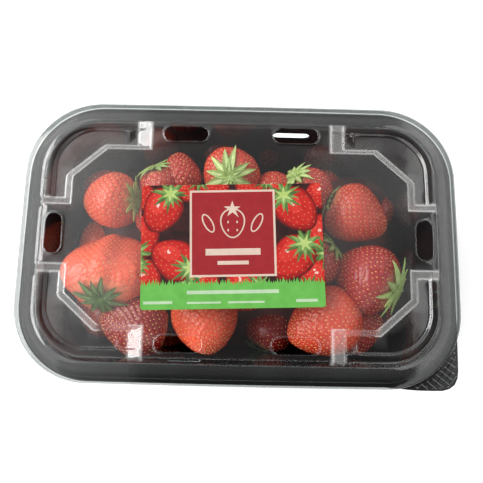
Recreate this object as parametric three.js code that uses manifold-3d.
// A punnet of strawberries: a black thermoformed tray with a grip tab at one corner,
// a clear snap-on lid with sunk stacking corners and vent slots, a paper label on the
// lid, and the heap of strawberries inside. Millimetres, +Z up, origin at the centre
// of the base. The tray's long side lies along X, and its grip tab is at +X, -Y.
import * as THREE from "three";
import { mergeVertices } from "three/addons/utils/BufferGeometryUtils.js";
import Module from "manifold-3d";

// ---- driving dimensions ----------------------------------------------------
const LENGTH = 190; // over the lid's skirt, along X
const WIDTH = 124; // over the lid's skirt, along Y
const CORNER_RADIUS = 32; // of the skirt, seen from above
const SIDE_BOW = 0.5; // how far the middle of each side bulges
const LIP_TOP = 60; // height of the tray's lip, under the lid's skirt
const RIM_TOP = 64; // height of the tray's rim inside the lid
const LID_TOP = 71.5; // height of the lid's raised middle
const TRAY_WALL = 0.9;
const LID_WALL = 0.7;
const FIT_GAP = 0.3; // between pieces that touch
const WALL_SLOPE = 0.18; // how far the tray's wall leans in, per millimetre down

const wasm = await Module();
wasm.setup();

// ---- solids from rings of points -------------------------------------------
const ARC_STEPS = 8; // along each rounded corner
const SIDE_STEPS = 5; // along each side

// The outline of the punnet from above, moved in by inset, as a ring of points.
function outline(inset, arcSteps = ARC_STEPS, sideSteps = SIDE_STEPS) {
  const halfX = LENGTH / 2 - SIDE_BOW - inset;
  const halfY = WIDTH / 2 - SIDE_BOW - inset;
  const radius = Math.max(CORNER_RADIUS - inset, 6);
  const corners = [];
  const signs = [[1, 1], [-1, 1], [-1, -1], [1, -1]];
  signs.forEach(([sx, sy], quarter) => {
    const arc = [];
    for (let k = 0; k <= arcSteps; k++) {
      const turn = ((quarter + k / arcSteps) * Math.PI) / 2;
      arc.push(new THREE.Vector2(
        sx * (halfX - radius) + radius * Math.cos(turn),
        sy * (halfY - radius) + radius * Math.sin(turn),
      ));
    }
    corners.push(arc);
  });
  const ring = [];
  corners.forEach((arc, quarter) => {
    ring.push(...arc);
    const from = arc[arc.length - 1];
    const to = corners[(quarter + 1) % corners.length][0];
    for (let k = 1; k < sideSteps; k++) ring.push(from.clone().lerp(to, k / sideSteps));
  });
  return ring.map((p) => new THREE.Vector2(
    p.x * (1 + (SIDE_BOW / halfX) * (1 - (p.y / halfY) ** 2)),
    p.y * (1 + (SIDE_BOW / halfY) * (1 - (p.x / halfX) ** 2)),
  ));
}

// A closed solid through rings of equal length, listed from the bottom centre round
// to the top centre. Each ring is { points, z }, and both ends are capped flat.
function loft(rings) {
  const count = rings[0].points.length;
  const position = rings.flatMap(({ points, z }) => points.flatMap((p) => [p.x, p.y, z]));
  const index = [];
  for (let r = 0; r + 1 < rings.length; r++) {
    for (let k = 0; k < count; k++) {
      const a = r * count + k;
      const b = r * count + ((k + 1) % count);
      index.push(a, b, b + count, a, b + count, a + count);
    }
  }
  const cap = (points) => THREE.ShapeUtils.triangulateShape(points, []);
  cap(rings[0].points).forEach(([a, b, c]) => index.push(a, c, b));
  const last = (rings.length - 1) * count;
  cap(rings[rings.length - 1].points).forEach(([a, b, c]) => index.push(last + a, last + b, last + c));
  const geometry = new THREE.BufferGeometry();
  geometry.setAttribute("position", new THREE.Float32BufferAttribute(position, 3));
  geometry.setIndex(index);
  return geometry;
}

const outlineLoft = (profile) => loft(profile.map(([inset, z]) => ({ points: outline(inset), z })));

function toSolid(geometry) {
  const bare = geometry.clone();
  bare.deleteAttribute("normal");
  bare.deleteAttribute("uv");
  const merged = mergeVertices(bare, 1e-4);
  return new wasm.Manifold(new wasm.Mesh({
    numProp: 3,
    vertProperties: new Float32Array(merged.attributes.position.array),
    triVerts: new Uint32Array(merged.index.array),
  }));
}

function toGeometry(solid) {
  const { numProp, numVert, vertProperties, triVerts } = solid.getMesh();
  const position = new Float32Array(numVert * 3);
  for (let v = 0; v < numVert; v++) {
    position.set(vertProperties.subarray(v * numProp, v * numProp + 3), v * 3);
  }
  const geometry = new THREE.BufferGeometry();
  geometry.setAttribute("position", new THREE.BufferAttribute(position, 3));
  geometry.setIndex(new THREE.BufferAttribute(new Uint32Array(triVerts), 1));
  return geometry;
}

const joined = (solids) => solids.reduce((all, next) => all.add(next));

// A slot with round ends, along X, as a tall bar centred on the origin.
function slotBar(length, width, height) {
  const half = (length - width) / 2;
  const shape = new THREE.Shape();
  shape.absarc(half, 0, width / 2, -Math.PI / 2, Math.PI / 2);
  shape.absarc(-half, 0, width / 2, Math.PI / 2, (3 * Math.PI) / 2);
  const bar = new THREE.ExtrudeGeometry(shape, { depth: height, bevelEnabled: false, curveSegments: 6 });
  return bar.translate(0, 0, -height / 2);
}

// ---- tray ------------------------------------------------------------------
const FOOT_INSET = 22.5; // outer edge of the ring that the tray stands on
const FOOT_WIDTH = 6.5;
const FLOOR_RAISE = 2; // the floor inside that ring is raised by this
const BEAD_INSET = 2.3; // the upright step that the lid's skirt snaps over
const WALL_TOP_INSET = 8; // outside of the wall, right under the rim
const wallInset = (z) => WALL_TOP_INSET + (RIM_TOP - z) * WALL_SLOPE;

const LIP_INSET = 0.8;

// The squared grip tab that takes the place of the lip's round corner at +X, -Y.
const TAB_EDGE = [[76, -62], [86.5, -62], [90.2, -61], [92.8, -58.8], [93.8, -55.5], [94, -47], [94.1, -38]];
const TAB_QUARTER = 3;

// The back wall's vent is right of the middle and the front wall's is left of it.
const WALL_VENT = { length: 17, width: 5, z: 55, x: 23 };
const FLOOR_VENT = { length: 16, width: 5, x: 36, y: 16 };

// The lip's outer edge: the punnet's outline with the grip tab at one corner.
function lipEdge() {
  const ring = outline(LIP_INSET);
  const first = TAB_QUARTER * (ARC_STEPS + SIDE_STEPS) + 1;
  TAB_EDGE.forEach(([x, y], k) => ring[first + k].set(x, y));
  return ring;
}

// One skin that runs from under the floor, up outside, over the rim and down inside.
function tray() {
  const wall = TRAY_WALL;
  const footInner = FOOT_INSET + FOOT_WIDTH;
  const ring = (inset, z) => ({ points: outline(inset), z });
  const skin = loft([
    ring(footInner + FLOOR_RAISE, FLOOR_RAISE),
    ring(footInner, 0),
    ring(FOOT_INSET, 0),
    ring(wallInset(3), 3),
    ring(wallInset(RIM_TOP - wall), RIM_TOP - wall),
    ring(BEAD_INSET + wall, RIM_TOP - wall),
    ring(BEAD_INSET + wall, LIP_TOP - wall),
    { points: lipEdge(), z: LIP_TOP - wall },
    { points: lipEdge(), z: LIP_TOP },
    ring(BEAD_INSET, LIP_TOP),
    ring(BEAD_INSET + 0.3, RIM_TOP - 0.5),
    ring(BEAD_INSET + 0.8, RIM_TOP),
    ring(wallInset(RIM_TOP) + wall, RIM_TOP),
    ring(wallInset(3) + wall, 3 + wall * 0.6),
    ring(FOOT_INSET + wall, wall),
    ring(footInner - wall * 0.6, wall),
    ring(footInner + FLOOR_RAISE - wall * 0.6, FLOOR_RAISE + wall),
  ]);
  const cutters = [];
  for (const side of [-1, 1]) {
    const vent = slotBar(WALL_VENT.length, WALL_VENT.width, WIDTH / 2).rotateX(Math.PI / 2);
    cutters.push(vent.translate(side * WALL_VENT.x, (side * WIDTH) / 2, WALL_VENT.z));
    for (const end of [-1, 1]) {
      const floor = slotBar(FLOOR_VENT.length, FLOOR_VENT.width, 12);
      cutters.push(floor.translate(side * FLOOR_VENT.x, end * FLOOR_VENT.y, 0));
    }
  }
  return toSolid(skin).subtract(joined(cutters.map(toSolid)));
}

// ---- lid -------------------------------------------------------------------
const FLANGE_TOP = RIM_TOP + FIT_GAP + LID_WALL;
const DOME_FOOT_INSET = 8.6;
const DOME_TOP_INSET = 11.2;
const TERRACE_TOP = 69; // ridge round each sunk corner
const POCKET_FLOOR = 67.2; // floor of each sunk corner
const POCKET_INSET = 14.2;

// One quarter of the step between the raised middle and a sunk corner: where it
// starts at the top, and where it ends at the bottom.
const STEP_TOP = [[40, 38.2], [58, 38.2], [72.8, 25], [72.8, 13]];
const STEP_FOOT = [[44.5, 40], [58.9, 40], [74.6, 26.2], [74.6, 16]];
const OUTSIDE = 130;

const TOP_SLOTS = [
  { x: 23.9, y: 45.2, length: 19, width: 6.4, turn: 0 },
  { x: 78.3, y: 0, length: 17, width: 6.8, turn: Math.PI / 2 },
];

// The cutter that sinks one corner, with its sloping walls set back by inset.
function cornerCutter(sx, sy, floorZ, inset) {
  const corner = (steps, grow) => {
    const path = steps.map(([x, y]) => new THREE.Vector2(x - grow, y - grow));
    const ends = [
      new THREE.Vector2(OUTSIDE, path[path.length - 1].y),
      new THREE.Vector2(OUTSIDE, OUTSIDE),
      new THREE.Vector2(path[0].x, OUTSIDE),
    ];
    const ring = [...path, ...ends].map((p) => new THREE.Vector2(p.x * sx, p.y * sy));
    return sx * sy > 0 ? ring : ring.reverse();
  };
  return toSolid(loft([
    { points: corner(STEP_FOOT, inset), z: floorZ },
    { points: corner(STEP_TOP, inset), z: LID_TOP + 0.001 },
    { points: corner(STEP_TOP, inset), z: LID_TOP + 5 },
  ]));
}

// The lid's form as a filled solid, and the same form one wall thickness inside it.
function lidForm(inset) {
  const form = toSolid(outlineLoft([
    [inset, LIP_TOP + FIT_GAP - (inset ? 1 : 0)],
    [inset, FLANGE_TOP - 0.6 - inset],
    [inset + 0.7, FLANGE_TOP - inset],
    [DOME_FOOT_INSET + inset, FLANGE_TOP - inset],
    [DOME_TOP_INSET + inset, LID_TOP - inset],
  ]));
  const pocketRing = toSolid(outlineLoft([
    [POCKET_INSET + 0.8 - inset, POCKET_FLOOR - inset - 1],
    [POCKET_INSET + 0.8 - inset, POCKET_FLOOR - inset],
    [POCKET_INSET - inset, TERRACE_TOP + 4],
  ]));
  const cutters = [];
  for (const sx of [-1, 1]) {
    for (const sy of [-1, 1]) {
      cutters.push(cornerCutter(sx, sy, TERRACE_TOP - inset, inset));
      cutters.push(cornerCutter(sx, sy, POCKET_FLOOR - inset, inset).intersect(pocketRing));
    }
  }
  return form.subtract(joined(cutters));
}

function lid() {
  const slots = [];
  for (const slot of TOP_SLOTS) {
    const bar = slotBar(slot.length, slot.width, 10).rotateZ(slot.turn);
    for (const sx of [-1, 1]) {
      for (const sy of slot.y ? [-1, 1] : [1]) {
        slots.push(toSolid(bar.clone().translate(sx * slot.x, sy * slot.y, LID_TOP)));
      }
    }
  }
  return lidForm(0).subtract(lidForm(LID_WALL)).subtract(joined(slots));
}

// ---- label -----------------------------------------------------------------
const LABEL = { length: 78, width: 53.5, thick: 0.25, radius: 1.2, x: -2, y: -4, turn: 0.038 };

function label() {
  const halfX = LABEL.length / 2 - LABEL.radius;
  const halfY = LABEL.width / 2 - LABEL.radius;
  const shape = new THREE.Shape();
  const corners = [[1, -1], [1, 1], [-1, 1], [-1, -1]];
  corners.forEach(([sx, sy], quarter) => {
    const start = ((quarter - 1) * Math.PI) / 2;
    shape.absarc(sx * halfX, sy * halfY, LABEL.radius, start, start + Math.PI / 2);
  });
  const sheet = new THREE.ExtrudeGeometry(shape, {
    depth: LABEL.thick,
    bevelEnabled: false,
    curveSegments: 4,
  });
  sheet.rotateZ(LABEL.turn);
  return sheet.translate(LABEL.x, LABEL.y, LID_TOP + 0.1);
}

// ---- strawberries ----------------------------------------------------------
// Each berry's centre, its length from calyx to tip and its width. The tip points
// along heading, in degrees about Z from +X, lifted from level by rise. lobe makes
// the body broad and furrowed, and calyx is the reach of the leaves where they show.
const BERRIES = [
  { at: [-60, 20, 50], length: 27, width: 26, heading: 178, rise: 5, calyx: 11 },
  { at: [-58, -11, 49], length: 39, width: 35, heading: 85, rise: -38, lobe: 0.12, calyx: 14 },
  { at: [-46, -36, 48], length: 31, width: 26, heading: 172, rise: 10, lobe: 0.08 },
  { at: [-14, -35, 50], length: 30, width: 30, heading: -80, rise: 25 },
  { at: [-28, 34, 50], length: 20, width: 20, heading: 100, rise: 20 },
  { at: [-36, 26, 50], length: 22, width: 19, heading: -70, rise: -25, calyx: 8 },
  { at: [-36, 12, 47], length: 25, width: 22, heading: -40, rise: 10 },
  { at: [-4, 34, 50], length: 26, width: 26, heading: 75, rise: -68, calyx: 13 },
  { at: [18, 25, 48], length: 24, width: 21, heading: -20, rise: 5 },
  { at: [33, 25, 50], length: 26, width: 22, heading: -40, rise: -20, calyx: 9 },
  { at: [54, 15, 51], length: 30, width: 27, heading: -25, rise: 10 },
  { at: [57, -13, 50], length: 31, width: 32, heading: 165, rise: 5, calyx: 13 },
  { at: [38, -34, 50], length: 35, width: 31, heading: 205, rise: 12 },
  { at: [56, -35, 40], length: 24, width: 23, heading: 20, rise: 0 },
  { at: [33, -8, 47], length: 28, width: 25, heading: 220, rise: -20, calyx: 10 },
  { at: [-17, 12, 50], length: 29, width: 26, heading: 20, rise: 5 },
  { at: [9, 7, 49], length: 30, width: 28, heading: -110, rise: 10 },
  { at: [-24, -13, 49], length: 30, width: 27, heading: 130, rise: 0 },
  { at: [5, -17, 47], length: 28, width: 27, heading: -20, rise: 10 },
  { at: [17, -32, 28], length: 28, width: 25, heading: 60, rise: 0 },
  { at: [68, 4, 26], length: 24, width: 22, heading: 80, rise: 10 },
  { at: [63, 28, 25], length: 27, width: 24, heading: 130, rise: 10 },
  { at: [40, 34, 29], length: 26, width: 22, heading: -70, rise: 5, calyx: 10 },
  { at: [8, 36, 25], length: 26, width: 23, heading: 170, rise: 5 },
  { at: [-26, 34, 26], length: 25, width: 22, heading: 190, rise: 5 },
  { at: [-62, 28, 25], length: 26, width: 23, heading: 220, rise: 10 },
  { at: [-68, 2, 25], length: 25, width: 22, heading: -80, rise: 10 },
  { at: [-63, -29, 26], length: 26, width: 23, heading: 150, rise: 5 },
  { at: [-30, -34, 25], length: 26, width: 23, heading: 10, rise: 5 },
];
const BERRY_SIDES = 12;
const BERRY_RINGS = 8;
const TAPER = 0.3; // how much narrower the tip's half is than the calyx's half
const LEAF_COUNT = 8;
const LEAF_THICK = 1.1;

// Distance from the axis of a berry's skin, over half its width, where polar runs
// from 0 at the calyx to PI at the tip, and azimuth runs round the axis.
function skinRadius(polar, azimuth, lobe = 0) {
  const body = Math.sin(polar) * (1 + TAPER * Math.cos(polar)) * 0.97;
  return body * (1 + lobe * Math.cos(2 * azimuth) + lobe * 0.5 * Math.cos(5 * azimuth + 1));
}

function berryBody({ length, width, lobe }) {
  const geometry = new THREE.SphereGeometry(1, BERRY_SIDES, BERRY_RINGS);
  const position = geometry.attributes.position;
  for (let v = 0; v < position.count; v++) {
    const polar = Math.acos(THREE.MathUtils.clamp(position.getY(v), -1, 1));
    const azimuth = Math.atan2(position.getZ(v), position.getX(v));
    const radius = (width / 2) * skinRadius(polar, azimuth, lobe);
    const along = (length / 2) * Math.cos(polar);
    position.setXYZ(v, radius * Math.cos(azimuth), along, radius * Math.sin(azimuth));
  }
  return toSolid(geometry);
}

// The calyx: a thin star whose leaves lie over the berry's shoulder and curl up.
function calyxStar({ length, width, calyx }) {
  const points = [[0, length / 2 + 0.8, 0]];
  for (let k = 0; k < LEAF_COUNT * 2; k++) {
    const isTip = k % 2 === 0;
    const reach = isTip ? calyx * (k % 4 ? 0.88 : 1) : calyx * 0.42;
    const turn = (k / (LEAF_COUNT * 2)) * Math.PI * 2;
    const across = Math.min(reach / (width / 2), 0.98);
    const height = (length / 2) * Math.sqrt(1 - across ** 2) + (isTip ? 2.2 : 1);
    points.push([reach * Math.cos(turn), height, reach * Math.sin(turn)]);
  }
  const count = points.length;
  const below = points.map(([x, y, z]) => [x, y - LEAF_THICK, z]);
  const index = [];
  for (let k = 1; k < count; k++) {
    const next = (k % (count - 1)) + 1;
    index.push(0, next, k);
    index.push(count, count + k, count + next);
    index.push(k, next, count + next, k, count + next, count + k);
  }
  const geometry = new THREE.BufferGeometry();
  geometry.setAttribute("position", new THREE.Float32BufferAttribute([...points, ...below].flat(), 3));
  geometry.setIndex(index);
  return toSolid(geometry);
}

// Turns a solid built calyx up, tip down along -Y, to point its tip along the
// berry's heading and rise, and moves it to the berry's place.
function placeBerry(solid, { at, heading, rise }) {
  const up = THREE.MathUtils.degToRad(rise);
  const turn = THREE.MathUtils.degToRad(heading);
  const tip = new THREE.Vector3(
    Math.cos(up) * Math.cos(turn),
    Math.cos(up) * Math.sin(turn),
    Math.sin(up),
  );
  const spin = new THREE.Quaternion().setFromUnitVectors(new THREE.Vector3(0, -1, 0), tip);
  const matrix = new THREE.Matrix4().compose(new THREE.Vector3(...at), spin, new THREE.Vector3(1, 1, 1));
  return solid.transform(matrix.elements);
}

// The heap's core, which fills the tray's lower part and rises in the middle, as
// pairs of a height and how far it stands back from the tray's wall there.
const CORE_PROFILE = [[4.2, 0], [20, 0], [32, 9], [42, 22]];
const WALL_GAP = 0.5;

function heap() {
  const layer = (z, setBack) => [wallInset(z) + TRAY_WALL + WALL_GAP + setBack, z];
  const core = toSolid(outlineLoft(CORE_PROFILE.map(([z, setBack]) => layer(z, setBack + 0.5))));
  const room = toSolid(outlineLoft([layer(CORE_PROFILE[0][0] - 1, 0), layer(RIM_TOP + 3, 0)]));
  const parts = [core];
  for (const berry of BERRIES) {
    parts.push(placeBerry(berryBody(berry), berry));
    if (berry.calyx) parts.push(placeBerry(calyxStar(berry), berry));
  }
  const pieces = joined(parts).intersect(room).decompose();
  pieces.sort((a, b) => b.volume() - a.volume());
  return pieces[0];
}

// ---- the whole -------------------------------------------------------------
const finish = (color, roughness) => new THREE.MeshStandardMaterial({ color, roughness, metalness: 0 });

function piece(name, geometry, material) {
  geometry.computeVertexNormals();
  const mesh = new THREE.Mesh(geometry, material);
  mesh.name = name;
  return mesh;
}

const clear = finish(0xdfe4e2, 0.08);
clear.transparent = true;
clear.opacity = 0.25;

const punnet = new THREE.Group();
punnet.add(
  piece("tray", toGeometry(tray()), finish(0x14161a, 0.35)),
  piece("lid", toGeometry(lid()), clear),
  piece("label", label(), finish(0xa02b30, 0.6)),
  piece("berries", toGeometry(heap()), finish(0xb3202a, 0.45)),
);

export default punnet;
